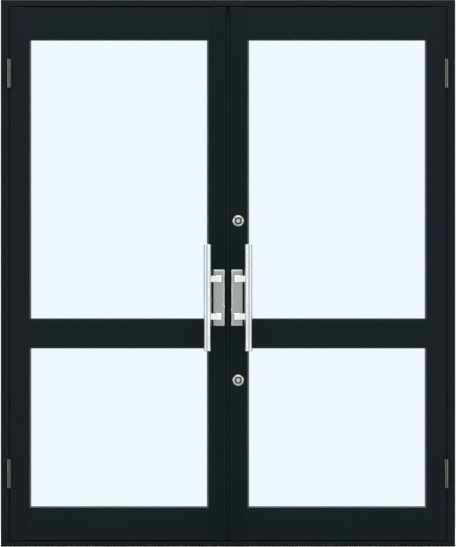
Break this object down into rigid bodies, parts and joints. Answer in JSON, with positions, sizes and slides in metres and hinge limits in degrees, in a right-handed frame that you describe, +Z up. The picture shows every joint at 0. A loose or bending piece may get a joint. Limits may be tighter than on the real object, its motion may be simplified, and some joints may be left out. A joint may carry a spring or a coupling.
{
  "type": "double glass shop door",
  "caption": "Double leaf glazed shop entrance door in a dark aluminium frame, with pull handles, locks, hinges and closers.",
  "frame": {"origin": "middle of the underside of the sill, half way through the depth of the frame", "axes": "+X to the right seen from the street, +Y into the shop, +Z up"},
  "size_m": [1.69, 0.2125, 2.033],
  "materials": {
    "frame_coating": "dark grey satin powder coat on aluminium",
    "leaf_coating": "dark grey satin powder coat on aluminium",
    "hinge_metal": "dull grey coated steel",
    "grey_rubber": "grey weather rubber",
    "black_rubber": "black weather rubber",
    "black_plastic": "black moulded plastic",
    "clear_glass": "clear toughened glass, faintly blue",
    "zinc_steel": "zinc plated steel",
    "mill_aluminium": "uncoated aluminium",
    "satin_steel": "satin stainless steel",
    "satin_plate": "satin stainless steel plate",
    "polished_steel": "bright polished steel",
    "satin_nickel": "satin nickel plate",
    "silver_casting": "silver painted casting"
  },
  "bodies": {
    "frame": {"frame_head": "frame_coating", "frame_sill": "frame_coating", "left_jamb": "frame_coating", "right_jamb": "frame_coating", "frame_gaskets": "black_rubber", "frame_corner_screws": "zinc_steel", "left_hinge_frame_halves": "hinge_metal", "right_hinge_frame_halves": "hinge_metal", "closer_brackets": "silver_casting", "bolt_keepers": "satin_steel"},
    "left_leaf": {"left_hinge_leaf_halves": "hinge_metal", "left_hinge_stile": "leaf_coating", "left_meeting_stile": "leaf_coating", "left_top_rail": "leaf_coating", "left_mid_rail": "leaf_coating", "left_bottom_rail": "leaf_coating", "left_upper_glass": "clear_glass", "left_lower_glass": "clear_glass", "left_glazing_gaskets": "grey_rubber", "left_glazing_beads": "leaf_coating", "left_setting_blocks": "black_plastic", "left_meeting_seal": "grey_rubber", "left_corner_cleats": "mill_aluminium", "left_handle_plates": "satin_plate", "left_handle_arms": "polished_steel", "left_handle_bars": "satin_steel", "left_closer_body": "silver_casting", "strike_plates": "satin_steel", "surface_bolt_housings": "leaf_coating"},
    "right_leaf": {"right_hinge_leaf_halves": "hinge_metal", "right_hinge_stile": "leaf_coating", "right_meeting_stile": "leaf_coating", "right_top_rail": "leaf_coating", "right_mid_rail": "leaf_coating", "right_bottom_rail": "leaf_coating", "right_upper_glass": "clear_glass", "right_lower_glass": "clear_glass", "right_glazing_gaskets": "grey_rubber", "right_glazing_beads": "leaf_coating", "right_setting_blocks": "black_plastic", "right_meeting_seal": "grey_rubber", "right_corner_cleats": "mill_aluminium", "right_handle_plates": "satin_plate", "right_handle_arms": "polished_steel", "right_handle_bars": "satin_steel", "right_closer_body": "silver_casting", "lock_cases": "zinc_steel", "lock_cylinders": "satin_nickel"},
    "left_main_arm": {"left_closer_arm": "silver_casting"},
    "left_forearm": {"left_closer_forearm": "silver_casting"},
    "right_main_arm": {"right_closer_arm": "silver_casting"},
    "right_forearm": {"right_closer_forearm": "silver_casting"},
    "upper_turn": {"upper_thumb_turn": "satin_nickel"},
    "upper_plug": {"upper_lock_plug": "satin_nickel"},
    "upper_bolt": {"upper_lock_bolt": "satin_steel"},
    "lower_turn": {"lower_thumb_turn": "satin_nickel"},
    "lower_plug": {"lower_lock_plug": "satin_nickel"},
    "lower_bolt": {"lower_lock_bolt": "satin_steel"},
    "top_rod": {"top_bolt_rod": "satin_steel"},
    "bottom_rod": {"bottom_bolt_rod": "satin_steel"}
  },
  "joints": [
    {"name": "left_leaf_swing", "type": "hinge", "parent": "frame", "child": "left_leaf", "pos_m": [-0.81325, -0.043, 1], "axis": [0, 0, -1], "range_deg": [0, 90], "stiffness_Nm_per_rad": 12, "springref_deg": -34.38},
    {"name": "left_closer_spindle_turn", "type": "hinge", "parent": "left_leaf", "child": "left_main_arm", "pos_m": [-0.56325, 0.029, 1.96], "axis": [0, 0, -1], "range_deg": [-90, 0]},
    {"name": "left_closer_elbow_turn", "type": "hinge", "parent": "left_main_arm", "child": "left_forearm", "pos_m": [-0.34825, 0.094, 1.965], "axis": [0, 0, -1], "range_deg": [0, 90]},
    {"name": "right_leaf_swing", "type": "hinge", "parent": "frame", "child": "right_leaf", "pos_m": [0.81325, -0.043, 1], "axis": [0, 0, 1], "range_deg": [0, 90], "stiffness_Nm_per_rad": 12, "springref_deg": -34.38},
    {"name": "right_closer_spindle_turn", "type": "hinge", "parent": "right_leaf", "child": "right_main_arm", "pos_m": [0.56325, 0.029, 1.96], "axis": [0, 0, 1], "range_deg": [-90, 0]},
    {"name": "right_closer_elbow_turn", "type": "hinge", "parent": "right_main_arm", "child": "right_forearm", "pos_m": [0.34825, 0.094, 1.965], "axis": [0, 0, 1], "range_deg": [0, 90]},
    {"name": "upper_thumb_turn_turn", "type": "hinge", "parent": "right_leaf", "child": "upper_turn", "pos_m": [0.038, -0.015, 1.2112], "axis": [0, 1, 0], "range_deg": [0, 90]},
    {"name": "upper_key_plug_turn", "type": "hinge", "parent": "right_leaf", "child": "upper_plug", "pos_m": [0.038, -0.015, 1.2112], "axis": [0, 1, 0], "range_deg": [0, 90]},
    {"name": "upper_bolt_slide", "type": "slide", "parent": "right_leaf", "child": "upper_bolt", "axis": [-1, 0, 0], "range_m": [0, 0.02]},
    {"name": "lower_thumb_turn_turn", "type": "hinge", "parent": "right_leaf", "child": "lower_turn", "pos_m": [0.038, -0.015, 0.6184], "axis": [0, 1, 0], "range_deg": [0, 90]},
    {"name": "lower_key_plug_turn", "type": "hinge", "parent": "right_leaf", "child": "lower_plug", "pos_m": [0.038, -0.015, 0.6184], "axis": [0, 1, 0], "range_deg": [0, 90]},
    {"name": "lower_bolt_slide", "type": "slide", "parent": "right_leaf", "child": "lower_bolt", "axis": [-1, 0, 0], "range_m": [0, 0.02]},
    {"name": "top_rod_slide", "type": "slide", "parent": "left_leaf", "child": "top_rod", "axis": [0, 0, 1], "range_m": [0, 0.016]},
    {"name": "bottom_rod_slide", "type": "slide", "parent": "left_leaf", "child": "bottom_rod", "axis": [0, 0, -1], "range_m": [0, 0.016]}
  ],
  "couplings": [
    {"joint": "left_closer_spindle_turn", "follows": "left_leaf_swing", "ratio": -1},
    {"joint": "left_closer_elbow_turn", "follows": "left_leaf_swing", "ratio": 1},
    {"joint": "right_closer_spindle_turn", "follows": "right_leaf_swing", "ratio": -1},
    {"joint": "right_closer_elbow_turn", "follows": "right_leaf_swing", "ratio": 1},
    {"joint": "upper_key_plug_turn", "follows": "upper_thumb_turn_turn", "ratio": 1},
    {"joint": "upper_bolt_slide", "follows": "upper_thumb_turn_turn", "m_per_rad": 0.01273},
    {"joint": "lower_key_plug_turn", "follows": "lower_thumb_turn_turn", "ratio": 1},
    {"joint": "lower_bolt_slide", "follows": "lower_thumb_turn_turn", "m_per_rad": 0.01273}
  ]
}
